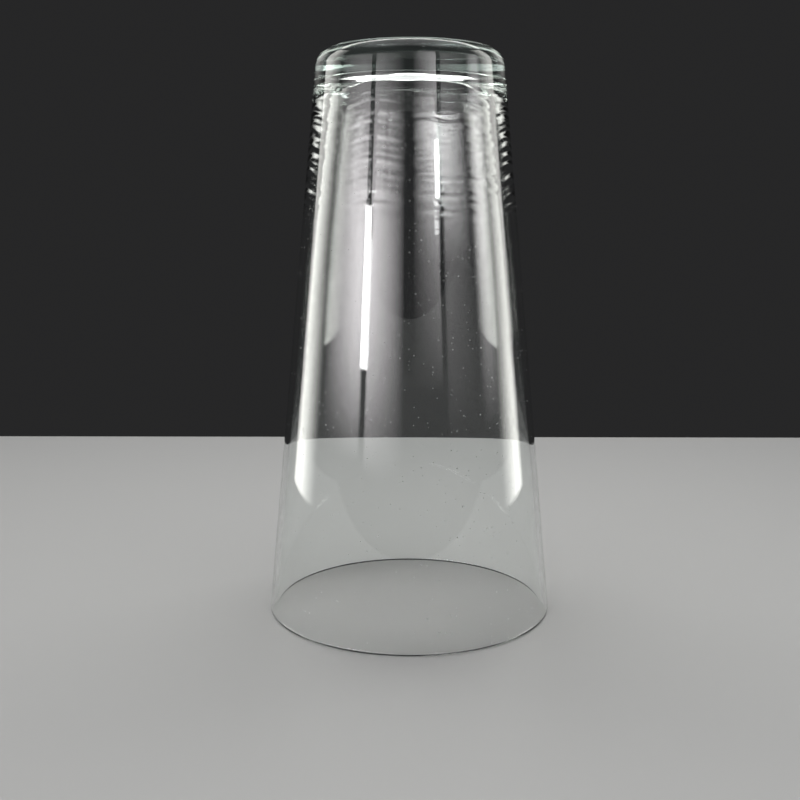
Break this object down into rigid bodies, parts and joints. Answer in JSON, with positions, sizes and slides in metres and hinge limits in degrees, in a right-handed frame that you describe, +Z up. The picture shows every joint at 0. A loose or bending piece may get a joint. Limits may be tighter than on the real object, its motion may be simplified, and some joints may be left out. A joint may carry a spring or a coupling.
{
  "type": "mixing glass",
  "caption": "Tall conical drinks-mixing glass with a thin wall, a rounded lip, a thick solid base and a fluted bearing ring, standing upside down on its mouth.",
  "frame": {"origin": "centre of the mouth, on the plane that the rounded lip stands on", "axes": "+Z up along the glass's axis, from the mouth to the thick base; the glass is turned, so +X and +Y are any two directions across it"},
  "size_m": [0.088, 0.088, 0.17],
  "materials": {
    "clear_glass": "clear, fire-polished, faint green tint where thick"
  },
  "bodies": {
    "root": {"glass_body": "clear_glass"}
  },
  "joints": []
}
